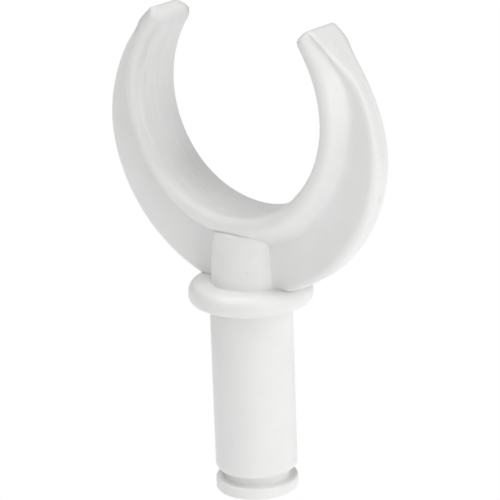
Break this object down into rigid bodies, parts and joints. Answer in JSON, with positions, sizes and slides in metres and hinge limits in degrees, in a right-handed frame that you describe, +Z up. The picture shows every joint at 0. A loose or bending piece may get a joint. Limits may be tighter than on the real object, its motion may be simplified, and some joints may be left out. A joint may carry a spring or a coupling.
{
  "type": "rowlock",
  "caption": "White nylon rowlock: an open-topped crescent yoke with a barrelled bearing band on a thin web, a neck boss and round collar, over a plain pin with a keeper groove and foot disc.",
  "frame": {"origin": "on the pin's axis, in the plane of the collar's underside, where the collar rests on the socket", "axes": "+Z up along the pin towards the mouth of the yoke, X across the yoke from horn to horn, Y through the yoke's depth along the bore of the jaw"},
  "size_m": [0.0668, 0.0254, 0.0999],
  "materials": {
    "nylon": "white moulded nylon, satin, faintly mottled"
  },
  "bodies": {
    "root": {"rowlock": "nylon"}
  },
  "joints": []
}
